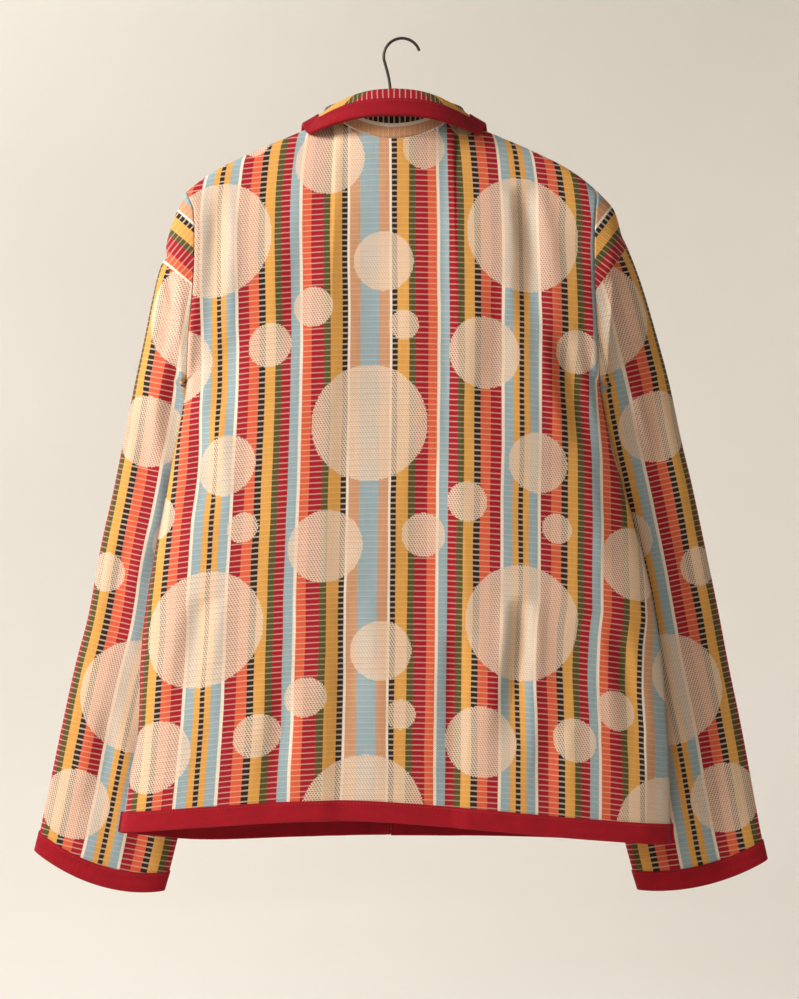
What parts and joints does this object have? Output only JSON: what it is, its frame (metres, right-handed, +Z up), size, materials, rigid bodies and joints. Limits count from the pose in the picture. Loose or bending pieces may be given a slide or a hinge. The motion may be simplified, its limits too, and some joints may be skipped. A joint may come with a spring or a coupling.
{
  "type": "work jacket on a wire hanger",
  "caption": "Striped and dotted work jacket with red bound hem, cuffs and collar, hanging by its wire hanger, seen from the back.",
  "frame": {"origin": "inner top of the hanger's hook, where a nail or rail carries it", "axes": "+Z up, +X to the right seen from behind, +Y from the back towards the fronts"},
  "size_m": [0.7588, 0.1138, 0.8749],
  "materials": {
    "cloth": "ribbed woven cotton in stripes with pale dots",
    "binding": "matt red twill tape",
    "button": "polished dark brown",
    "wire": "dark drawn wire"
  },
  "bodies": {
    "root": {"back": "cloth", "front_left": "cloth", "front_right": "cloth", "sleeve_left": "cloth", "sleeve_right": "cloth", "collar": "cloth", "hem_tape_back": "binding", "hem_tape_left": "binding", "hem_tape_right": "binding", "edge_tape_left": "binding", "edge_tape_right": "binding", "cuff_tape_left": "binding", "cuff_tape_right": "binding", "collar_tape": "binding", "button_1": "button", "button_2": "button", "button_3": "button", "button_4": "button", "button_5": "button", "hanger": "wire"}
  },
  "joints": []
}
